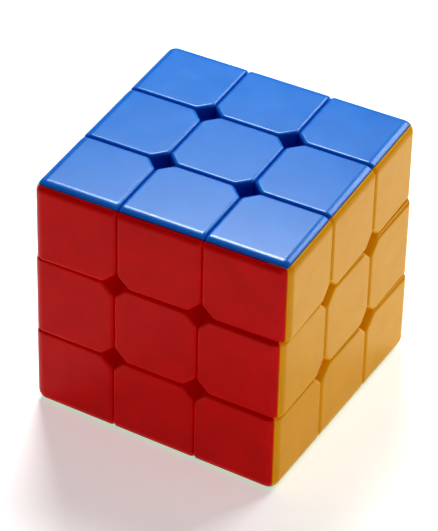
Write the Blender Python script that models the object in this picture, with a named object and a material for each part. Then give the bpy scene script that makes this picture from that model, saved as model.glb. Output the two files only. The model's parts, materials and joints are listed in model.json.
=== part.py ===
"""Stickerless 3 x 3 x 3 twisty puzzle cube, as an assembly that works like the real mechanism.

The frame has +Z up through the top face, -Y through the front face and +X through the right face,
and its origin is the centre of the core, where all the turning axes meet.

Every layer is divided from the next by surfaces of revolution about its own axis: a plane one sixth of
the cube from the centre outside the foot sphere, a plane nearer the centre inside it, and the sphere
between the two. So corner feet lie under the edges, edge feet lie under the centres, and only the
screws hold the cube together.
"""

import math

import bmesh
import bpy
from mathutils import Matrix, Vector

MM = 0.001

# Driving dimensions.
CUBE = 56.0 * MM  # across two opposite faces
WALL = 1.4 * MM  # moulded shell
GAP = 0.3 * MM  # running clearance between pieces
SEAM = 0.1 * MM  # between two halves that snap together
EDGE_ROUND = 2.5 * MM  # radius of the cube's outer edges
HOLE_LEG = 2.9 * MM  # leg of the cut-off corner where four pieces meet
FOOT_CUT = 6.2 * MM  # layer plane inside the foot sphere
FOOT_SPHERE = 20.35 * MM  # feet lie inside it, and the blocks they hold lie outside
EDGE_FOOT_INSIDE = 10.5 * MM  # radius that the edge feet reach in to
CORNER_FOOT_INSIDE = 13.5 * MM  # radius that the corner feet reach in to

# How the layers are left standing, by the right-hand rule about +Z.
TOP_TURN = math.radians(1.4)
BOTTOM_TURN = math.radians(-0.8)

# The stack along each arm of the core, as heights from the centre.
ARM_RADIUS = 3.6 * MM
ARM_END = 9.1 * MM
STEM_RADIUS = 5.6 * MM
STEM_END = ARM_END + GAP
STEM_FLOOR = STEM_END + 1.6 * MM
SPRING_WELL_RADIUS = 3.4 * MM
SCREW_RADIUS = 1.2 * MM
SCREW_TIP = 4.0 * MM
SCREW_HEAD_BOTTOM = 19.4 * MM
SCREW_HEAD_RADIUS = 2.8 * MM
SCREW_HEAD_HEIGHT = 1.7 * MM
SPRING_RADIUS = 2.3 * MM
SPRING_WIRE = 0.3 * MM
SPRING_TURNS = 4.5
CAP_THICKNESS = 1.5 * MM
CUP_FLOOR = 22.4 * MM  # inside floor of the centre base, under its cap
PLUG_DEPTH = 3.6 * MM  # skirt of the cap inside the centre base

# Worked out from them.
HALF = CUBE / 2
CUT = CUBE / 6
BLOCK_INNER = CUT + GAP / 2
BLOCK_SIDE = CUT - GAP / 2
FOOT_INNER = FOOT_CUT + GAP / 2
FOOT_SIDE = FOOT_CUT - GAP / 2
FOOT_RADIUS = FOOT_SPHERE - GAP / 2
HOLLOW_RADIUS = FOOT_SPHERE + GAP / 2
BASE_TOP = HALF - CAP_THICKNESS - SEAM

ROUND_SIDES = 16
SMALL_SIDES = 10
FAR = 3 * CUBE

FACES = {
    "top": Vector((0, 0, 1)),
    "bottom": Vector((0, 0, -1)),
    "front": Vector((0, -1, 0)),
    "back": Vector((0, 1, 0)),
    "left": Vector((-1, 0, 0)),
    "right": Vector((1, 0, 0)),
}
COLOURS = {
    "top": ("blue_plastic", (0.06, 0.20, 0.75)),
    "bottom": ("green_plastic", (0.02, 0.38, 0.10)),
    "front": ("red_plastic", (0.62, 0.01, 0.01)),
    "back": ("orange_plastic", (0.90, 0.20, 0.01)),
    "left": ("white_plastic", (0.82, 0.82, 0.80)),
    "right": ("yellow_plastic", (0.85, 0.45, 0.02)),
}


def clear_scene():
    for obj in list(bpy.data.objects):
        bpy.data.objects.remove(obj)


def material(name, colour, roughness=0.4, metallic=0.0):
    found = bpy.data.materials.get(name)
    if found:
        return found
    made = bpy.data.materials.new(name)
    made.use_nodes = True
    shader = made.node_tree.nodes["Principled BSDF"]
    shader.inputs["Base Color"].default_value = (*colour, 1)
    shader.inputs["Roughness"].default_value = roughness
    shader.inputs["Metallic"].default_value = metallic
    made.diffuse_color = (*colour, 1)
    return made


def face_material(face):
    name, colour = COLOURS[face]
    return material(name, colour)


# Tools for making solids. Each returns an object, and the Booleans use up their second one.


def object_from(bm):
    bmesh.ops.recalc_face_normals(bm, faces=bm.faces)
    mesh = bpy.data.meshes.new("shape")
    bm.to_mesh(mesh)
    bm.free()
    obj = bpy.data.objects.new("shape", mesh)
    bpy.context.collection.objects.link(obj)
    return obj


def box(low, high, rounded=(), radius=0.0):
    """A box between two corners. Its edges that lie on two of the rounded sides are rounded."""
    low, high = Vector(low), Vector(high)
    bm = bmesh.new()
    size = Matrix.Diagonal((*(high - low), 1))
    bmesh.ops.create_cube(bm, matrix=Matrix.Translation((low + high) / 2) @ size)
    if rounded:
        edges = []
        for edge in bm.edges:
            middle = (edge.verts[0].co + edge.verts[1].co) / 2
            on = [i for i in rounded if abs(middle[i] - high[i]) < radius / 100]
            if len(on) == 2:
                edges.append(edge)
        bmesh.ops.bevel(bm, geom=edges, offset=radius, segments=4, profile=0.5, affect="EDGES")
    return object_from(bm)


def ball(radius, around=False):
    """A faceted ball inside the radius, or outside it all round for one that cuts clearance."""
    bm = bmesh.new()
    facet_depth = 0.982  # distance of the flattest facet from the centre, over the radius
    bmesh.ops.create_icosphere(bm, subdivisions=3, radius=radius / facet_depth if around else radius)
    return object_from(bm)


def cylinder(radius, bottom, top, sides=ROUND_SIDES, top_radius=None):
    bm = bmesh.new()
    middle = Matrix.Translation((0, 0, (bottom + top) / 2))
    bmesh.ops.create_cone(
        bm,
        cap_ends=True,
        segments=sides,
        radius1=radius,
        radius2=radius if top_radius is None else top_radius,
        depth=top - bottom,
        matrix=middle,
    )
    return object_from(bm)


def half_space(normal, distance):
    """Everything within reach on the far side of a plane, as a large box."""
    obj = box((-FAR / 2, -FAR / 2, distance), (FAR / 2, FAR / 2, distance + FAR))
    obj.data.transform(Vector(normal).to_track_quat("Z", "Y").to_matrix().to_4x4())
    return obj


def boolean(obj, tool, operation):
    modifier = obj.modifiers.new("boolean", "BOOLEAN")
    modifier.operation = operation
    modifier.object = tool
    bpy.context.view_layer.update()
    graph = bpy.context.evaluated_depsgraph_get()
    obj.data = bpy.data.meshes.new_from_object(obj.evaluated_get(graph))
    obj.modifiers.clear()
    bpy.data.objects.remove(tool)
    return obj


def cut(obj, tool):
    return boolean(obj, tool, "DIFFERENCE")


def keep(obj, tool):
    return boolean(obj, tool, "INTERSECT")


def join(obj, tool):
    return boolean(obj, tool, "UNION")


def turned(direction, along):
    """The rotation that takes +Z to direction and +Y to along."""
    direction, along = Vector(direction), Vector(along)
    return Matrix((along.cross(direction), along, direction)).transposed().to_4x4()


# The blocks that show, with every side moved in by inset.


def centre_block(inset, bottom, top):
    side = BLOCK_SIDE - inset
    body = box((-side, -side, bottom), (side, side, top))
    reach = (2 * CUT - HOLE_LEG) / math.sqrt(2) - inset
    for x in (-1, 1):
        for y in (-1, 1):
            cut(body, half_space((x, y, 0), reach))
    return body


def edge_block(inset):
    """The block of the edge between the +Y and +Z faces."""
    side, inner, outer = BLOCK_SIDE - inset, BLOCK_INNER + inset, HALF - inset
    body = box((-side, inner, inner), (side, outer, outer), (1, 2), EDGE_ROUND - inset)
    reach = inset + HOLE_LEG / math.sqrt(2)
    for x in (-1, 1):
        cut(body, half_space((x, -1, 0), -reach))
        cut(body, half_space((x, 0, -1), -reach))
    return body


def corner_block(inset):
    """The block of the corner where the +X, +Y and +Z faces meet."""
    inner, outer = BLOCK_INNER + inset, HALF - inset
    body = box((inner,) * 3, (outer,) * 3, (0, 1, 2), EDGE_ROUND - inset)
    reach = (2 * CUT + HOLE_LEG) / math.sqrt(2) + inset
    for normal in ((-1, -1, 0), (-1, 0, -1), (0, -1, -1)):
        cut(body, half_space(normal, -reach))
    return body


# The pieces, each in its own place along +Z, or in the corner of the +X, +Y and +Z faces.


def make_core():
    """A hub with six arms, each with the hole that its screw bites into."""
    hub = 4.6 * MM
    core = box((-hub,) * 3, (hub,) * 3)
    for direction in FACES.values():
        rotation = direction.to_track_quat("Z", "Y").to_matrix().to_4x4()
        arm = cylinder(ARM_RADIUS, 0, ARM_END)
        arm.data.transform(rotation)
        join(core, arm)
    for direction in FACES.values():
        rotation = direction.to_track_quat("Z", "Y").to_matrix().to_4x4()
        hole = cylinder(SCREW_RADIUS + GAP, SCREW_TIP - GAP, ARM_END + WALL, SMALL_SIDES)
        hole.data.transform(rotation)
        cut(core, hole)
    return core


def make_screw():
    """A pan-head screw with a cross recess."""
    head_top = SCREW_HEAD_BOTTOM + SCREW_HEAD_HEIGHT
    rim = SCREW_HEAD_BOTTOM + 0.6 * SCREW_HEAD_HEIGHT
    screw = cylinder(SCREW_RADIUS, SCREW_TIP, rim, SMALL_SIDES)
    join(screw, cylinder(SCREW_HEAD_RADIUS, SCREW_HEAD_BOTTOM, rim))
    dome = cylinder(SCREW_HEAD_RADIUS, rim - SEAM, head_top, top_radius=0.7 * SCREW_HEAD_RADIUS)
    join(screw, dome)
    slot_width, slot_length, slot_depth = 0.35 * MM, 1.5 * MM, 1.0 * MM
    for across, along in ((slot_width, slot_length), (slot_length, slot_width)):
        low = (-across, -along, head_top - slot_depth)
        cut(screw, box(low, (across, along, head_top + WALL)))
    return screw


def make_spring():
    """The compression spring between the stem's floor and the screw head."""
    points_a_turn = 9
    bottom = STEM_FLOOR + GAP + SPRING_WIRE
    top = SCREW_HEAD_BOTTOM - GAP - SPRING_WIRE
    count = round(SPRING_TURNS * points_a_turn)
    curve = bpy.data.curves.new("spring", "CURVE")
    curve.dimensions = "3D"
    curve.bevel_depth = SPRING_WIRE
    curve.bevel_resolution = 0
    curve.use_fill_caps = True
    spline = curve.splines.new("POLY")
    spline.points.add(count)
    for i, point in enumerate(spline.points):
        angle = 2 * math.pi * i / points_a_turn
        height = bottom + (top - bottom) * i / count
        point.co = (SPRING_RADIUS * math.cos(angle), SPRING_RADIUS * math.sin(angle), height, 1)
    coil = bpy.data.objects.new("shape", curve)
    bpy.context.collection.objects.link(coil)
    bpy.context.view_layer.update()
    graph = bpy.context.evaluated_depsgraph_get()
    bm = bmesh.new()
    bm.from_mesh(bpy.data.meshes.new_from_object(coil.evaluated_get(graph)))
    bmesh.ops.remove_doubles(bm, verts=bm.verts, dist=SPRING_WIRE / 100)
    bpy.data.objects.remove(coil)
    return object_from(bm)


def make_centre_base():
    """A cup over the foot sphere, on a stem that turns on the core's arm and holds the spring."""
    base = cut(centre_block(0, STEM_FLOOR, BASE_TOP), ball(HOLLOW_RADIUS, around=True))
    join(base, cylinder(STEM_RADIUS, STEM_END, CUP_FLOOR))
    cut(base, centre_block(WALL, CUP_FLOOR, HALF))
    cut(base, cylinder(SPRING_WELL_RADIUS, STEM_FLOOR, HALF))
    return cut(base, cylinder(SCREW_RADIUS + GAP, 0, HALF, SMALL_SIDES))


def make_centre_cap():
    """The face of a centre, with a skirt that plugs into the cup."""
    cap = centre_block(0, HALF - CAP_THICKNESS, HALF)
    plug_outside = WALL + GAP
    skirt = centre_block(plug_outside, BASE_TOP - PLUG_DEPTH, HALF - CAP_THICKNESS / 2)
    cut(skirt, centre_block(plug_outside + WALL, 0, HALF - CAP_THICKNESS))
    return join(cap, skirt)


def make_edge():
    """A whole edge piece: a hollow block over a solid foot, which widens under the two centres."""
    edge = cut(edge_block(0), ball(HOLLOW_RADIUS, around=True))
    foot_top = HOLLOW_RADIUS
    foot = box((-FOOT_SIDE, FOOT_INNER, FOOT_INNER), (FOOT_SIDE, foot_top, foot_top))
    keep(foot, ball(FOOT_RADIUS))
    join(foot, box((-FOOT_SIDE, BLOCK_INNER, BLOCK_INNER), (FOOT_SIDE, foot_top, foot_top)))
    join(edge, foot)
    cut(edge, ball(EDGE_FOOT_INSIDE, around=True))
    return cut(edge, cut(edge_block(WALL), ball(HOLLOW_RADIUS + WALL)))


def make_edge_half():
    """The +Z half. The halves meet on the diagonal plane, and so in the middle of the outer edge."""
    return keep(make_edge(), half_space((0, -1, 1), SEAM / 2))


def make_corner():
    """A whole corner piece: a hollow block, joined by a stalk to a foot under three edges."""
    corner = corner_block(0)
    stalk_top = 15.2 * MM  # just inside the foot sphere where it meets the hole's edge
    stalk = box((BLOCK_INNER,) * 3, (stalk_top,) * 3)
    foot = box((FOOT_INNER,) * 3, (HOLLOW_RADIUS,) * 3)
    join(stalk, keep(foot, ball(FOOT_RADIUS)))
    join(corner, stalk)
    cut(corner, ball(CORNER_FOOT_INSIDE, around=True))
    cavity = cut(corner_block(WALL), ball(HOLLOW_RADIUS + 2 * WALL))
    bolt_hole = cylinder(1.6 * MM, 0, HALF, SMALL_SIDES)
    bolt_hole.data.transform(Vector((1, 1, 1)).to_track_quat("Z", "Y").to_matrix().to_4x4())
    return cut(corner, join(cavity, bolt_hole))


# Placing them.


def take_mesh(obj):
    """The object's mesh, ready to be shared by every copy of the piece."""
    mesh = obj.data
    bpy.data.objects.remove(obj)
    mesh.shade_smooth()
    mesh.set_sharp_from_angle(angle=math.radians(25))
    mesh.materials.clear()
    return mesh


def place(name, mesh, rotation, layer, *materials):
    obj = bpy.data.objects.new(name, mesh.copy())
    bpy.context.collection.objects.link(obj)
    obj.parent = layer
    obj.rotation_euler = rotation.to_euler()
    for made in materials:
        obj.data.materials.append(made)
    return obj


def paint_by_face(obj, directions):
    """Gives each polygon the material of the face that it lies furthest towards."""
    for polygon in obj.data.polygons:
        reach = [polygon.center.dot(direction) for direction in directions]
        polygon.material_index = reach.index(max(reach))


def make_layers():
    """An empty for each layer, on the turning axis."""
    layers = {}
    for name, turn in (("top", TOP_TURN), ("middle", 0.0), ("bottom", BOTTOM_TURN)):
        empty = bpy.data.objects.new(name + "_layer", None)
        empty.rotation_euler.z = turn
        bpy.context.collection.objects.link(empty)
        layers[name] = empty
    return layers


def place_arms(layers):
    """The core, and the stack of pieces on each of its arms."""
    steel = material("steel", (0.55, 0.56, 0.58), roughness=0.3, metallic=1.0)
    nylon = material("core_plastic", (0.78, 0.78, 0.76), roughness=0.5)
    place("core", take_mesh(make_core()), Matrix.Identity(4), layers["middle"], nylon)
    screw, spring = take_mesh(make_screw()), take_mesh(make_spring())
    base, cap = take_mesh(make_centre_base()), take_mesh(make_centre_cap())
    for face, direction in FACES.items():
        up = Vector((0, 1, 0)) if face in ("top", "bottom") else Vector((0, 0, 1))
        rotation = turned(direction, up)
        layer = layers.get(face, layers["middle"])
        place("screw_" + face, screw, rotation, layers["middle"], steel)
        place("spring_" + face, spring, rotation, layer, steel)
        place("centre_base_" + face, base, rotation, layer, face_material(face))
        place("centre_cap_" + face, cap, rotation, layer, face_material(face))


def place_edges(layers):
    half = take_mesh(make_edge_half())
    sides = ("front", "right", "back", "left")
    pairs = [(level, side) for level in ("top", "bottom") for side in sides]
    pairs += [(side, end) for side in ("right", "left") for end in ("front", "back")]
    for pair in pairs:
        layer = layers.get(pair[0], layers["middle"])
        for face, other in (pair, pair[::-1]):
            name = f"edge_{pair[0]}_{pair[1]}_{face}_half"
            place(name, half, turned(FACES[face], FACES[other]), layer, face_material(face))


def place_corners(layers):
    mesh = take_mesh(make_corner())
    for first in ("top", "bottom"):
        for front in ("front", "back"):
            for side in ("right", "left"):
                second, third = front, side
                if FACES[second].cross(FACES[third]).dot(FACES[first]) < 0:
                    second, third = side, front
                name = f"corner_{first}_{front}_{side}"
                paints = [face_material(face) for face in (second, third, first)]
                rotation = turned(FACES[first], FACES[third])
                corner = place(name, mesh, rotation, layers[first], *paints)
                paint_by_face(corner, (Vector((1, 0, 0)), Vector((0, 1, 0)), Vector((0, 0, 1))))


def main():
    clear_scene()
    layers = make_layers()
    place_arms(layers)
    place_edges(layers)
    place_corners(layers)


main()
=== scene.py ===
"""The visual model of the stickerless 3 x 3 x 3 twisty puzzle cube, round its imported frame.

Every piece is made standing for the top of the cube, or for its +X +Y +Z corner, and is then
turned to its own face and set on the same twist as its layer. The shapes that show are convex
blocks, clipped out of a box, whose edges are rounded one kind at a time: the cube's outer edges,
the upright edges inside the diamond holes, the grooves and last the lips of the seams. What is
behind them is cut with Booleans.
"""

import json
import math

import bmesh
import bpy
from mathutils import Matrix, Vector

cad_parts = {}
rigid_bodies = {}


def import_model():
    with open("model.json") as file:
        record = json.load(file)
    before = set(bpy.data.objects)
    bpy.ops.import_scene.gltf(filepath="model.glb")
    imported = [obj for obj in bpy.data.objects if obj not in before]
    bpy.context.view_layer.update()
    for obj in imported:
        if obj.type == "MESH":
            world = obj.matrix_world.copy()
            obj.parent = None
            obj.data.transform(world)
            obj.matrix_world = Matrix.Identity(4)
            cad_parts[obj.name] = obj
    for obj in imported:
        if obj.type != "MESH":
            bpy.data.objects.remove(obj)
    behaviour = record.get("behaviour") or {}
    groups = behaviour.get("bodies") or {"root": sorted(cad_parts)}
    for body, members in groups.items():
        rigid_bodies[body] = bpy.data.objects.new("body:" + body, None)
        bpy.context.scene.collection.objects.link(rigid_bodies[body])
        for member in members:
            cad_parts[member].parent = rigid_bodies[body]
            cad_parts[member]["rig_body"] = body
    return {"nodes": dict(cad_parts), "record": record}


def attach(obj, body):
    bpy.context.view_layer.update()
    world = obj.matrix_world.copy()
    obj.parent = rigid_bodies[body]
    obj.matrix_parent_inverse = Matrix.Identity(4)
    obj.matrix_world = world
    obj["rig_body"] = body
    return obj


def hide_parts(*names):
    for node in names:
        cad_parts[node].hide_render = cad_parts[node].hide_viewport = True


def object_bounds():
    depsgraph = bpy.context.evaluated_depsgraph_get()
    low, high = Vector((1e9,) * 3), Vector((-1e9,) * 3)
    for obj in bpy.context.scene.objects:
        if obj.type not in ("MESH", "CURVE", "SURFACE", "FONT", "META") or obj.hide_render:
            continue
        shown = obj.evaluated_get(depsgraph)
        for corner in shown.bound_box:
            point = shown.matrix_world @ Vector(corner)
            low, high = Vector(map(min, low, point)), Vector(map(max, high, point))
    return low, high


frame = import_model()
cad_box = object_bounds()

MM = 0.001
X, Y, Z = Vector((1, 0, 0)), Vector((0, 1, 0)), Vector((0, 0, 1))

# The solids' driving dimensions.
CUBE = cad_box[1].z - cad_box[0].z
WALL = 1.4 * MM
GAP = 0.3 * MM
SEAM = 0.1 * MM
EDGE_ROUND = 2.5 * MM
HOLE_LEG = 2.9 * MM
FOOT_CUT = 6.2 * MM
FOOT_SPHERE = 20.35 * MM
EDGE_FOOT_INSIDE = 10.5 * MM
CORNER_FOOT_INSIDE = 13.5 * MM
STALK_TOP = 15.2 * MM
ARM_RADIUS = 3.6 * MM
ARM_END = 9.1 * MM
HUB = 4.6 * MM
STEM_RADIUS = 5.6 * MM
STEM_END = ARM_END + GAP
STEM_FLOOR_THICKNESS = 1.6 * MM
STEM_FLOOR = STEM_END + STEM_FLOOR_THICKNESS
SPRING_WELL_RADIUS = 3.4 * MM
SCREW_RADIUS = 1.2 * MM
SCREW_TIP = 4.0 * MM
SCREW_HEAD_BOTTOM = 19.4 * MM
SCREW_HEAD_RADIUS = 2.8 * MM
SCREW_HEAD_HEIGHT = 1.7 * MM
SPRING_RADIUS = 2.3 * MM
SPRING_WIRE = 0.3 * MM
SPRING_TURNS = 4.5
CAP_THICKNESS = 1.5 * MM
CUP_FLOOR = 22.4 * MM
PLUG_DEPTH = 3.6 * MM
BOLT_HOLE_RADIUS = 1.6 * MM

# What the solids leave out, or draw more plainly.
GROOVE_ROUND = 0.8 * MM  # lips of the grooves between pieces
HOLE_ROUND = 1.3 * MM  # upright edges inside the diamond holes
LIP_ROUND = 0.14 * MM  # lips of the seams between two colours
FACE_GAP = 0.12 * MM  # between the blocks that show, which is tighter than between the feet
THREAD_PITCH = 0.8 * MM
THREAD_DEPTH = 0.18 * MM
SCREW_POINT = 0.55  # radius of a screw's tip, as a share of its shank's
RECESS_HALF_WIDTH = 0.35 * MM  # the cross in a screw's head
RECESS_HALF_LENGTH = 1.5 * MM
RECESS_DEPTH = 1.0 * MM
# A screw's head from its rim to its crown, as shares of its radius and of its height.
HEAD_PROFILE = ((1.0, 0.0), (1.0, 0.45), (0.97, 0.62), (0.88, 0.8), (0.72, 0.93), (0.5, 1.0))

# How finely round things are divided.
ROUND_SIDES = 48
BALL_DIVISIONS = 4
OUTER_STEPS = 12
HOLE_STEPS = 6
GROOVE_STEPS = 5
LIP_STEPS = 2
SCREW_SIDES = 24
THREAD_STEPS = 16  # in each turn of the thread
COIL_STEPS = 24  # in each turn of a spring
WIRE_STEPS = 3
SHARP_ANGLE = math.radians(32)  # above this, the shading keeps an edge sharp

HALF = CUBE / 2
CUT = CUBE / 6
BLOCK_INNER = CUT + FACE_GAP / 2
BLOCK_SIDE = CUT - FACE_GAP / 2
FOOT_INNER = FOOT_CUT + GAP / 2
FOOT_SIDE = FOOT_CUT - GAP / 2
FOOT_RADIUS = FOOT_SPHERE - GAP / 2
HOLLOW_RADIUS = FOOT_SPHERE + GAP / 2
BASE_TOP = HALF - CAP_THICKNESS - SEAM

FACES = {"top": Z, "bottom": -Z, "front": -Y, "back": Y, "left": -X, "right": X}

# How sides are told apart by their normals: lengths between unit vectors, or radians.
SHOWS_WITHIN = 0.02
ON_CUT_WITHIN = 0.001
BEND_WITHIN = 0.01
SQUARE_ABOVE = 1.5
OUTWARD_ABOVE = 0.3
UPRIGHT_WITHIN = 0.1
PLANE_WITHIN = 1e-7  # metres


# Convex blocks.


def clip(bm, normal, distance):
    """Cuts off everything beyond a plane, and closes the cut."""
    bm.normal_update()
    normal = Vector(normal).normalized()
    made = bmesh.ops.bisect_plane(
        bm,
        geom=[*bm.verts, *bm.edges, *bm.faces],
        dist=PLANE_WITHIN,
        plane_co=normal * distance,
        plane_no=normal,
        clear_outer=True,
    )
    rim = [part for part in made["geom_cut"] if isinstance(part, bmesh.types.BMEdge)]
    if rim:
        bmesh.ops.edgeloop_fill(bm, edges=rim)
    bmesh.ops.recalc_face_normals(bm, faces=bm.faces)


def block(low, high, planes=()):
    bm = bmesh.new()
    low, high = Vector(low), Vector(high)
    size = Matrix.Diagonal((*(high - low), 1))
    bmesh.ops.create_cube(bm, matrix=Matrix.Translation((low + high) / 2) @ size)
    for normal, distance in planes:
        clip(bm, normal, distance)
    return bm


def round_edges(bm, wanted, radius, segments):
    """Rounds the edges that wanted picks by the normals of the two faces at each."""
    bm.normal_update()
    edges = [edge for edge in bm.edges if wanted(*(face.normal for face in edge.link_faces))]
    turn = max(first.normal.angle(second.normal) for first, second in (e.link_faces for e in edges))
    bmesh.ops.bevel(
        bm,
        geom=edges,
        offset=radius * math.tan(turn / 2),
        offset_type="OFFSET",
        segments=segments,
        profile=0.5,
        affect="EDGES",
        clamp_overlap=False,
    )


def shows(normal, outward):
    """Whether a face with this normal is on the outside of the cube, or on the rounding between."""
    rest = normal - sum((max(normal.dot(way), 0) * way for way in outward), Vector())
    return rest.length < SHOWS_WITHIN


def at_hole(first, second):
    """Whether two sides meet as at a diamond hole, where a corner is cut off at 45 degrees."""
    return abs(first.angle(second) - math.pi / 4) < BEND_WITHIN


def round_block(bm, outward):
    """Rounds a block whose outward sides are on the outside of the cube."""

    def outer_edge(first, second):
        both_show = shows(first, outward) and shows(second, outward)
        return both_show and first.angle(second) > SQUARE_ABOVE

    def hole_edge(first, second):
        neither_shows = not shows(first, outward) and not shows(second, outward)
        return neither_shows and at_hole(first, second)

    def groove_edge(first, second):
        return shows(first, outward) != shows(second, outward)

    if len(outward) > 1:
        round_edges(bm, outer_edge, EDGE_ROUND, OUTER_STEPS)
    round_edges(bm, hole_edge, HOLE_ROUND, HOLE_STEPS)
    round_edges(bm, groove_edge, GROOVE_ROUND, GROOVE_STEPS)
    return bm


def split_block(bm, outward, planes):
    """Cuts a block at its seams, and rounds the lips that the cuts leave."""
    cuts = [Vector(normal).normalized() for normal in planes]
    for normal in cuts:
        clip(bm, normal, -SEAM / 2)

    def lip(first, second):
        on_cut = [
            any((way - normal).length < ON_CUT_WITHIN for normal in cuts) for way in (first, second)
        ]
        other = second if on_cut[0] else first
        return on_cut[0] != on_cut[1] and any(other.dot(way) > OUTWARD_ABOVE for way in outward)

    round_edges(bm, lip, LIP_ROUND, LIP_STEPS)
    return bm


def centre_block(inset, bottom, top):
    side = BLOCK_SIDE - inset
    reach = (2 * CUT - HOLE_LEG) / math.sqrt(2) - inset
    planes = [((x, y, 0), reach) for x in (-1, 1) for y in (-1, 1)]
    return block((-side, -side, bottom), (side, side, top), planes)


def edge_block(inset):
    side, inner, outer = BLOCK_SIDE - inset, BLOCK_INNER + inset, HALF - inset
    reach = -inset - HOLE_LEG / math.sqrt(2)
    planes = [(normal, reach) for x in (-1, 1) for normal in ((x, -1, 0), (x, 0, -1))]
    return block((-side, inner, inner), (side, outer, outer), planes)


def corner_block(inset):
    inner, outer = BLOCK_INNER + inset, HALF - inset
    reach = -(2 * CUT + HOLE_LEG) / math.sqrt(2) - inset
    planes = [(normal, reach) for normal in ((-1, -1, 0), (-1, 0, -1), (0, -1, -1))]
    return block((inner,) * 3, (outer,) * 3, planes)


# Solids, and the Booleans between them. The Booleans use up their second one.


def solid(bm):
    bmesh.ops.recalc_face_normals(bm, faces=bm.faces)
    mesh = bpy.data.meshes.new("shape")
    bm.to_mesh(mesh)
    bm.free()
    obj = bpy.data.objects.new("shape", mesh)
    bpy.context.collection.objects.link(obj)
    return obj


def ball(radius, around=False):
    """A fine ball inside the radius, or outside it all round for one that cuts clearance."""
    bm = bmesh.new()
    bmesh.ops.create_icosphere(bm, subdivisions=BALL_DIVISIONS, radius=radius)
    if around:
        bm.normal_update()
        flattest = min(face.normal.dot(face.verts[0].co) for face in bm.faces)
        bmesh.ops.scale(bm, verts=bm.verts, vec=(radius / flattest,) * 3)
    return solid(bm)


def rod(radius, bottom, top, way=Z):
    bm = bmesh.new()
    turn = way.to_track_quat("Z", "Y").to_matrix().to_4x4()
    bmesh.ops.create_cone(
        bm,
        cap_ends=True,
        segments=ROUND_SIDES,
        radius1=radius,
        radius2=radius,
        depth=top - bottom,
        matrix=turn @ Matrix.Translation((0, 0, (bottom + top) / 2)),
    )
    return solid(bm)


def ring(sides, height, radius_at):
    """Points round the Z axis, where radius_at gives the radius at each share of a turn."""
    points = []
    for j in range(sides):
        radius, angle = radius_at(j / sides), 2 * math.pi * j / sides
        points.append((radius * math.cos(angle), radius * math.sin(angle), height))
    return points


def skin(rings):
    """The solid skinned over a stack of rings, from the bottom up."""
    bm = bmesh.new()
    loops = [[bm.verts.new(point) for point in points] for points in rings]
    for low, high in zip(loops, loops[1:]):
        for j in range(len(low)):
            k = (j + 1) % len(low)
            bm.faces.new((low[j], low[k], high[k], high[j]))
    bm.faces.new(loops[0][::-1])
    bm.faces.new(loops[-1])
    return solid(bm)


def boolean(obj, tool, operation):
    modifier = obj.modifiers.new("boolean", "BOOLEAN")
    modifier.operation = operation
    modifier.object = tool
    bpy.context.view_layer.update()
    graph = bpy.context.evaluated_depsgraph_get()
    obj.data = bpy.data.meshes.new_from_object(obj.evaluated_get(graph))
    obj.modifiers.clear()
    bpy.data.objects.remove(tool)
    return obj


def cut(obj, tool):
    return boolean(obj, tool, "DIFFERENCE")


def keep(obj, tool):
    return boolean(obj, tool, "INTERSECT")


def join(obj, tool):
    return boolean(obj, tool, "UNION")


# The pieces.


def make_centre_cap():
    cap = solid(round_block(centre_block(0, HALF - CAP_THICKNESS, HALF), (Z,)))
    outside = WALL + GAP
    skirt = solid(centre_block(outside, BASE_TOP - PLUG_DEPTH, HALF - CAP_THICKNESS / 2))
    cut(skirt, solid(centre_block(outside + WALL, 0, HALF - CAP_THICKNESS)))
    return join(cap, skirt)


def make_centre_base():
    outline = centre_block(0, STEM_FLOOR, BASE_TOP)
    round_edges(outline, at_hole, HOLE_ROUND, HOLE_STEPS)
    base = cut(solid(outline), ball(HOLLOW_RADIUS, around=True))
    join(base, rod(STEM_RADIUS, STEM_END, CUP_FLOOR))
    cut(base, solid(centre_block(WALL, CUP_FLOOR, HALF)))
    cut(base, rod(SPRING_WELL_RADIUS, STEM_FLOOR, HALF))
    return cut(base, rod(SCREW_RADIUS + GAP, 0, HALF))


def make_edge_half():
    """The half of the +Y +Z edge that shows on top, with its half of the foot."""
    outward, seam = (Y, Z), (0, 1, -1)
    shell = solid(split_block(round_block(edge_block(0), outward), outward, [seam]))
    cut(shell, ball(HOLLOW_RADIUS, around=True))
    low, neck = (-FOOT_SIDE, FOOT_INNER, FOOT_INNER), (-FOOT_SIDE, BLOCK_INNER, BLOCK_INNER)
    high = (FOOT_SIDE, HOLLOW_RADIUS, HOLLOW_RADIUS)
    foot = keep(solid(block(low, high, [(seam, -SEAM / 2)])), ball(FOOT_RADIUS))
    join(foot, solid(block(neck, high, [(seam, -SEAM / 2)])))
    join(shell, foot)
    cut(shell, ball(EDGE_FOOT_INSIDE, around=True))
    return cut(shell, cut(solid(edge_block(WALL)), ball(HOLLOW_RADIUS + WALL)))


def make_corner_shell():
    """The third of the +X +Y +Z corner that shows on top."""
    outward = (X, Y, Z)
    seams = [(1, 0, -1), (0, 1, -1)]
    shell = solid(split_block(round_block(corner_block(0), outward), outward, seams))
    cut(shell, ball(HOLLOW_RADIUS, around=True))
    cut(shell, cut(solid(corner_block(WALL)), ball(HOLLOW_RADIUS + 2 * WALL)))
    return cut(shell, solid(block((0,) * 3, (STALK_TOP + SEAM,) * 3)))


def make_corner_foot():
    """The stalk inside the three shells of a corner, and the foot under the edges beside it."""
    foot = keep(solid(block((FOOT_INNER,) * 3, (HOLLOW_RADIUS,) * 3)), ball(FOOT_RADIUS))
    join(foot, solid(block((BLOCK_INNER,) * 3, (STALK_TOP,) * 3)))
    cut(foot, ball(CORNER_FOOT_INSIDE, around=True))
    return cut(foot, rod(BOLT_HOLE_RADIUS, 0, HALF, way=X + Y + Z))


def make_core():
    core = solid(block((-HUB,) * 3, (HUB,) * 3))
    for way in FACES.values():
        join(core, rod(ARM_RADIUS, 0, ARM_END, way))
    for way in FACES.values():
        cut(core, rod(SCREW_RADIUS + GAP, SCREW_TIP - GAP, ARM_END + WALL, way))
    return core


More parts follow.
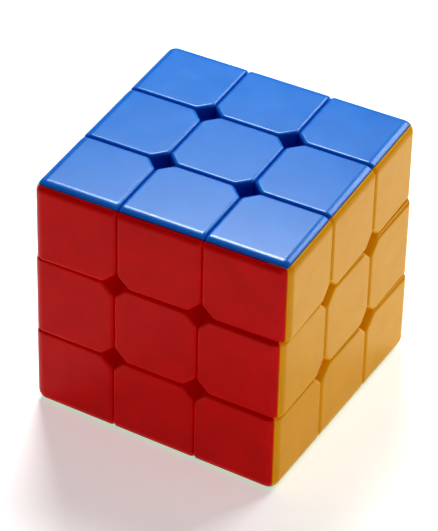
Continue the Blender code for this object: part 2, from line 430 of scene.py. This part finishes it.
def shank_ring(height):
    """One ring of a screw's shank, with the thread as far as the end of the core's arm."""
    threaded = height < ARM_END + WALL
    point = min((height - SCREW_TIP) / THREAD_PITCH, 1)

    def radius_at(turn):
        phase = (height / THREAD_PITCH - turn) % 1
        depth = THREAD_DEPTH * (1 - abs(2 * phase - 1)) if threaded else 0
        return (SCREW_RADIUS - depth) * (SCREW_POINT + (1 - SCREW_POINT) * point)

    return ring(SCREW_SIDES, height, radius_at)


def head_ring(out, up):
    height = SCREW_HEAD_BOTTOM - SEAM + up * SCREW_HEAD_HEIGHT
    return ring(ROUND_SIDES, height, lambda turn: out * SCREW_HEAD_RADIUS)


def make_screw():
    """A pan-head screw with a thread and a cross recess."""
    shank = SCREW_HEAD_BOTTOM - SCREW_TIP
    rings = round(shank / THREAD_PITCH * THREAD_STEPS)
    screw = skin([shank_ring(SCREW_TIP + shank * i / rings) for i in range(rings + 1)])
    join(screw, skin([head_ring(out, up) for out, up in HEAD_PROFILE]))
    head_top = SCREW_HEAD_BOTTOM + SCREW_HEAD_HEIGHT
    arms = (RECESS_HALF_WIDTH, RECESS_HALF_LENGTH)
    for across, along in (arms, arms[::-1]):
        low = (-across, -along, head_top - RECESS_DEPTH)
        cut(screw, solid(block(low, (across, along, head_top + WALL))))
    return screw


def make_spring():
    bottom = STEM_FLOOR + GAP + SPRING_WIRE
    top = SCREW_HEAD_BOTTOM - GAP - SPRING_WIRE
    count = round(SPRING_TURNS * COIL_STEPS)
    curve = bpy.data.curves.new("spring", "CURVE")
    curve.dimensions = "3D"
    curve.bevel_depth = SPRING_WIRE
    curve.bevel_resolution = WIRE_STEPS
    curve.use_fill_caps = True
    spline = curve.splines.new("POLY")
    spline.points.add(count)
    for i, point in enumerate(spline.points):
        angle = 2 * math.pi * i / COIL_STEPS
        height = bottom + (top - bottom) * i / count
        point.co = (SPRING_RADIUS * math.cos(angle), SPRING_RADIUS * math.sin(angle), height, 1)
    coil = bpy.data.objects.new("shape", curve)
    bpy.context.collection.objects.link(coil)
    bpy.context.view_layer.update()
    graph = bpy.context.evaluated_depsgraph_get()
    bm = bmesh.new()
    bm.from_mesh(bpy.data.meshes.new_from_object(coil.evaluated_get(graph)))
    bmesh.ops.remove_doubles(bm, verts=bm.verts, dist=SPRING_WIRE / 100)
    bpy.data.objects.remove(coil)
    return solid(bm)


# Materials. Colours are linear, and each size is that of the features of a noise.

NOISE_FROM, NOISE_TO = 0.3, 0.7  # where most of a noise lies
SHADE_SIZE, SHADE_DETAIL = 7 * MM, 4.0
HANDLED_SIZE, HANDLED_DETAIL, HANDLED_SPREAD = 5 * MM, 5.0, 0.035
SCUFF_SIZE, SCUFF_DETAIL, SCUFF_ROUGHNESS = 0.7 * MM, 1.0, 0.12
SCUFF_FROM, SCUFF_TO = 0.66, 0.74
SCUFF_TILT, SCUFF_STRETCH = (0.5, 0.7, 0.4), (0.12, 1.0, 1.0)
GRAIN_SIZE, GRAIN_DETAIL, GRAIN_STRENGTH, GRAIN_DEPTH = 0.35 * MM, 3.0, 0.25, 0.03 * MM
PLASTIC_IOR = 1.5
PLASTIC_ROUGHNESS = 0.33
COAT_ROUGHNESS = 0.2
SCATTER_WEIGHT, SCATTER_DEPTH = 0.5, 1 * MM
STEEL_STREAK_SIZE, STEEL_WORN_SIZE, STEEL_SPREAD = 1.5 * MM, 0.6 * MM, 0.06
STEEL_SHADE = 0.7

# Each plastic's colour, its darker shade, and its painted glow: an emission that stands in for
# light scattered through its thin walls and lightens its shaded holes and grooves.
PLASTICS = {
    "blue": {
        "colour": (0.013, 0.192, 0.57),
        "shade": (0.011, 0.174, 0.53),
        "painted_glow": (0.0, 0.0, 0.020),
        "specular": 0.30,
    },
    "green": {
        "colour": (0.006, 0.33, 0.06),
        "shade": (0.005, 0.29, 0.05),
        "painted_glow": (0.0, 0.017, 0.003),
        "specular": 0.35,
    },
    "red": {
        "colour": (0.50, 0.004, 0.004),
        "shade": (0.41, 0.003, 0.003),
        "painted_glow": (0.095, 0.0, 0.0),
        "specular": 0.13,
    },
    "orange": {
        "colour": (0.86, 0.16, 0.006),
        "shade": (0.79, 0.14, 0.005),
        "painted_glow": (0.043, 0.008, 0.0),
        "specular": 0.3,
    },
    "white": {
        "colour": (0.80, 0.80, 0.77),
        "shade": (0.75, 0.75, 0.72),
        "painted_glow": (0.04, 0.04, 0.038),
        "specular": 0.4,
    },
    "yellow": {
        "colour": (0.28, 0.215, 0.004),
        "shade": (0.25, 0.190, 0.003),
        "painted_glow": (0.26, 0.091, 0.0),
        "specular": 0.12,
    },
    "core": {
        "colour": (0.74, 0.74, 0.72),
        "shade": (0.69, 0.69, 0.66),
        "painted_glow": (0.0, 0.0, 0.0),
        "specular": 0.4,
        "roughness": 0.45,
    },
}


def principled(name):
    made = bpy.data.materials.new(name)
    made.use_nodes = True
    return made, made.node_tree.nodes, made.node_tree.links, made.node_tree.nodes["Principled BSDF"]


def noise(nodes, links, size, detail=2.0):
    """Noise whose features are about this size, fixed to the piece."""
    place = nodes.new("ShaderNodeTexCoord")
    made = nodes.new("ShaderNodeTexNoise")
    made.inputs["Scale"].default_value = 1 / size
    made.inputs["Detail"].default_value = detail
    links.new(place.outputs["Object"], made.inputs["Vector"])
    return made.outputs["Fac"]


def spread(nodes, links, value, low, high):
    """A noise's values, spread from low to high."""
    made = nodes.new("ShaderNodeMapRange")
    made.inputs["From Min"].default_value = NOISE_FROM
    made.inputs["From Max"].default_value = NOISE_TO
    made.inputs["To Min"].default_value = low
    made.inputs["To Max"].default_value = high
    links.new(value, made.inputs["Value"])
    return made.outputs["Result"]


def mixed(nodes, links, colour, shade, factor):
    """A colour and its shade, mixed by a factor."""
    mix = nodes.new("ShaderNodeMix")
    mix.data_type = "RGBA"
    mix.inputs["A"].default_value = (*colour, 1)
    mix.inputs["B"].default_value = (*shade, 1)
    links.new(factor, mix.inputs["Factor"])
    return mix.outputs["Result"]


def scuffs(nodes, links):
    """Extra roughness along the fine, short scuffs that handling leaves."""
    place = nodes.new("ShaderNodeTexCoord")
    along = nodes.new("ShaderNodeMapping")
    along.inputs["Rotation"].default_value = SCUFF_TILT
    along.inputs["Scale"].default_value = SCUFF_STRETCH
    made = nodes.new("ShaderNodeTexNoise")
    made.inputs["Scale"].default_value = 1 / SCUFF_SIZE
    made.inputs["Detail"].default_value = SCUFF_DETAIL
    marks = nodes.new("ShaderNodeMapRange")
    marks.inputs["From Min"].default_value = SCUFF_FROM
    marks.inputs["From Max"].default_value = SCUFF_TO
    marks.inputs["To Max"].default_value = SCUFF_ROUGHNESS
    links.new(place.outputs["Object"], along.inputs["Vector"])
    links.new(along.outputs["Vector"], made.inputs["Vector"])
    links.new(made.outputs["Fac"], marks.inputs["Value"])
    return marks.outputs["Result"]


def plastic(name, colour, shade, painted_glow, specular, roughness=PLASTIC_ROUGHNESS):
    """Satin moulded plastic, uneven in colour, worn by handling, with a fine grain and a painted
    glow.
    """
    made, nodes, links, shader = principled(name)
    uneven = spread(nodes, links, noise(nodes, links, SHADE_SIZE, SHADE_DETAIL), 0.0, 1.0)
    links.new(mixed(nodes, links, colour, shade, uneven), shader.inputs["Base Color"])
    handled = noise(nodes, links, HANDLED_SIZE, HANDLED_DETAIL)
    low, high = roughness - HANDLED_SPREAD, roughness + HANDLED_SPREAD
    scuffed = nodes.new("ShaderNodeMath")
    links.new(spread(nodes, links, handled, low, high), scuffed.inputs[0])
    links.new(scuffs(nodes, links), scuffed.inputs[1])
    links.new(scuffed.outputs["Value"], shader.inputs["Roughness"])
    shader.inputs["Specular IOR Level"].default_value = specular
    shader.inputs["IOR"].default_value = PLASTIC_IOR
    shader.inputs["Coat Weight"].default_value = specular
    shader.inputs["Coat Roughness"].default_value = COAT_ROUGHNESS
    shader.inputs["Subsurface Weight"].default_value = SCATTER_WEIGHT
    shader.inputs["Subsurface Radius"].default_value = (1, 1, 1)
    shader.inputs["Subsurface Scale"].default_value = SCATTER_DEPTH
    # Painted glow: the emission lightens the plastic everywhere, and shows most in its shaded holes
    # and grooves.
    shader.inputs["Emission Color"].default_value = (*painted_glow, 1)
    shader.inputs["Emission Strength"].default_value = 1.0
    bump = nodes.new("ShaderNodeBump")
    bump.inputs["Strength"].default_value = GRAIN_STRENGTH
    bump.inputs["Distance"].default_value = GRAIN_DEPTH
    links.new(noise(nodes, links, GRAIN_SIZE, GRAIN_DETAIL), bump.inputs["Height"])
    links.new(bump.outputs["Normal"], shader.inputs["Normal"])
    return made


def steel(name, colour, roughness):
    made, nodes, links, shader = principled(name)
    shader.inputs["Metallic"].default_value = 1.0
    shade = [STEEL_SHADE * part for part in colour]
    streaks = noise(nodes, links, STEEL_STREAK_SIZE)
    links.new(mixed(nodes, links, colour, shade, streaks), shader.inputs["Base Color"])
    worn = noise(nodes, links, STEEL_WORN_SIZE)
    low, high = roughness - STEEL_SPREAD, roughness + STEEL_SPREAD
    links.new(spread(nodes, links, worn, low, high), shader.inputs["Roughness"])
    return made


MATERIALS = {
    f"{kind}_plastic": plastic(f"moulded_{kind}", **look) for kind, look in PLASTICS.items()
}
MATERIALS["screw_steel"] = steel("turned_steel", (0.62, 0.62, 0.64), 0.28)
MATERIALS["spring_steel"] = steel("drawn_steel", (0.55, 0.56, 0.58), 0.32)

# Placing.

SLOTS = {part["node"]: part["material_slot"] for part in frame["record"]["subparts"]}


def face_slot(face):
    return SLOTS["centre_cap_" + face]


def layer_turn(face):
    """How far a layer is left turned about +Z, from where the largest side of its cap points."""
    sides = frame["nodes"]["centre_cap_" + face].data.polygons
    upright = [side for side in sides if abs(side.normal.z) < UPRIGHT_WITHIN]
    normal = max(upright, key=lambda side: side.area).normal
    quarter = math.pi / 2
    return (math.atan2(normal.y, normal.x) + quarter / 2) % quarter - quarter / 2


TURNS = {face: layer_turn(face) for face in ("top", "bottom")}


def turned(direction, along):
    """The rotation that takes +Z to direction and +Y to along."""
    return Matrix((along.cross(direction), along, direction)).transposed().to_4x4()


def place(name, mesh, rotation, node, slot):
    """A copy of a piece on the body of the node that it stands for."""
    body = frame["nodes"][node]["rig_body"]
    mesh = mesh.copy()
    layer = body.removeprefix("cap_").removesuffix("_layer")
    mesh.transform(Matrix.Rotation(TURNS.get(layer, 0.0), 4, "Z") @ rotation)
    mesh.materials.clear()
    mesh.materials.append(MATERIALS[slot])
    obj = bpy.data.objects.new(name, mesh)
    bpy.context.collection.objects.link(obj)
    weighted = obj.modifiers.new("weighted_normals", "WEIGHTED_NORMAL")
    weighted.keep_sharp = True
    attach(obj, body)
    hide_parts(node)


def take_mesh(obj):
    mesh = obj.data
    bpy.data.objects.remove(obj)
    mesh.shade_smooth()
    mesh.set_sharp_from_angle(angle=SHARP_ANGLE)
    return mesh


def place_arms():
    shapes = {
        "screw": make_screw(),
        "spring": make_spring(),
        "centre_base": make_centre_base(),
        "centre_cap": make_centre_cap(),
    }
    meshes = {name: take_mesh(obj) for name, obj in shapes.items()}
    place("core_hub", take_mesh(make_core()), Matrix.Identity(4), "core", SLOTS["core"])
    for face, direction in FACES.items():
        rotation = turned(direction, Y if face in ("top", "bottom") else Z)
        for kind, mesh in meshes.items():
            node = f"{kind}_{face}"
            place(node + "_detail", mesh, rotation, node, SLOTS[node])


def place_edges():
    half = take_mesh(make_edge_half())
    sides = ("front", "right", "back", "left")
    pairs = [(level, side) for level in ("top", "bottom") for side in sides]
    pairs += [(side, end) for side in ("right", "left") for end in ("front", "back")]
    for pair in pairs:
        for face, other in (pair, pair[::-1]):
            node = f"edge_{pair[0]}_{pair[1]}_{face}_half"
            place(node + "_detail", half, turned(FACES[face], FACES[other]), node, SLOTS[node])


def place_corners():
    shell, foot = take_mesh(make_corner_shell()), take_mesh(make_corner_foot())
    for level in ("top", "bottom"):
        for end in ("front", "back"):
            for side in ("right", "left"):
                node = f"corner_{level}_{end}_{side}"
                around = [level, end, side]
                if FACES[end].cross(FACES[side]).dot(FACES[level]) < 0:
                    around = [level, side, end]
                for i, face in enumerate(around):
                    rotation = turned(FACES[face], FACES[around[i - 1]])
                    place(f"{node}_{face}_shell", shell, rotation, node, face_slot(face))
                rotation = turned(FACES[around[0]], FACES[around[2]])
                place(node + "_foot", foot, rotation, node, SLOTS[node])


# The stage. Azimuth 0 is in front, and it grows towards the right.

CAMERA_AZIMUTH = math.radians(28.68)
CAMERA_ELEVATION = math.radians(37.88)
CAMERA_ROLL = math.radians(1.37)
CAMERA_DISTANCE = 622.95 * MM
CAMERA_ASIDE = -1.158 * MM
CAMERA_ABOVE = -0.567 * MM
CAMERA_SENSOR = 36.0
CAMERA_LENS = 210.0

FLOOR_HALF = 40 * CUBE
FLOOR_CELLS = 8
FLOOR_DROP = 0.05 * MM  # keeps the floor out of the plane of the bottom faces
FLOOR_COLOUR, FLOOR_SHADE = (0.93, 0.93, 0.93), (0.91, 0.91, 0.91)
FLOOR_PATCH_SIZE = 40 * MM
FLOOR_ROUGHNESS = 0.8
FLOOR_GLOW = 0.35

# Azimuth and elevation in degrees, distance and side in metres, power in watts.
SOFTBOXES = {
    "key": (213, 57, 0.40, 0.14, 1.12),
    "back_right": (160, 36, 0.50, 0.20, 0.8),
    "front_fill": (35, 4, 0.30, 0.20, 0.115),
    "right_high": (105, 40, 0.50, 0.20, 0.06),
}
WORLD_STRENGTH = 0.05


def direction_at(azimuth, elevation):
    """The unit vector from the middle of the cube towards a place on the stage."""
    level = math.cos(elevation)
    return Vector((math.sin(azimuth) * level, -math.cos(azimuth) * level, math.sin(elevation)))


def make_camera():
    """The camera, which looks past the middle of the cube by a little and is tilted by a little."""
    back = direction_at(CAMERA_AZIMUTH, CAMERA_ELEVATION)
    right = Z.cross(back).normalized()
    up = back.cross(right)
    right, up = (
        math.cos(CAMERA_ROLL) * right + math.sin(CAMERA_ROLL) * up,
        math.cos(CAMERA_ROLL) * up - math.sin(CAMERA_ROLL) * right,
    )
    data = bpy.data.cameras.new("camera")
    data.sensor_width = CAMERA_SENSOR
    data.lens = CAMERA_LENS
    data.clip_start, data.clip_end = CUBE / 10, 100 * CUBE
    camera = bpy.data.objects.new("camera", data)
    bpy.context.collection.objects.link(camera)
    camera.matrix_world = Matrix((right, up, back)).transposed().to_4x4()
    camera.location = CAMERA_DISTANCE * back + CAMERA_ASIDE * right + CAMERA_ABOVE * up
    bpy.context.scene.camera = camera


def make_floor():
    made, nodes, links, shader = principled("floor")
    shader.inputs["Roughness"].default_value = FLOOR_ROUGHNESS
    shader.inputs["Emission Color"].default_value = (1, 1, 1, 1)
    shader.inputs["Emission Strength"].default_value = FLOOR_GLOW
    patches = noise(nodes, links, FLOOR_PATCH_SIZE)
    white = mixed(nodes, links, FLOOR_COLOUR, FLOOR_SHADE, patches)
    links.new(white, shader.inputs["Base Color"])
    bm = bmesh.new()
    bmesh.ops.create_grid(bm, x_segments=FLOOR_CELLS, y_segments=FLOOR_CELLS, size=FLOOR_HALF)
    bmesh.ops.translate(bm, verts=bm.verts, vec=(0, 0, cad_box[0].z - FLOOR_DROP))
    floor = solid(bm)
    floor.name = "floor"
    floor.data.materials.append(made)


def softbox(name, azimuth, elevation, distance, side, power):
    """A square softbox that is aimed at the cube."""
    way = direction_at(math.radians(azimuth), math.radians(elevation))
    data = bpy.data.lights.new(name, "AREA")
    data.size = side
    data.energy = power
    light = bpy.data.objects.new(name, data)
    bpy.context.collection.objects.link(light)
    light.location = distance * way
    light.rotation_euler = way.to_track_quat("Z", "Y").to_euler()
    light.visible_camera = False


def make_lights():
    for name, placed in SOFTBOXES.items():
        softbox(name, *placed)
    world = bpy.data.worlds.new("studio")
    world.use_nodes = True
    background = world.node_tree.nodes["Background"]
    background.inputs["Color"].default_value = (1, 1, 1, 1)
    background.inputs["Strength"].default_value = WORLD_STRENGTH
    bpy.context.scene.world = world
    bpy.context.scene.view_settings.view_transform = "Standard"
    bpy.context.scene.view_settings.look = "High Contrast"


make_camera()
make_floor()
make_lights()
place_arms()
place_edges()
place_corners()
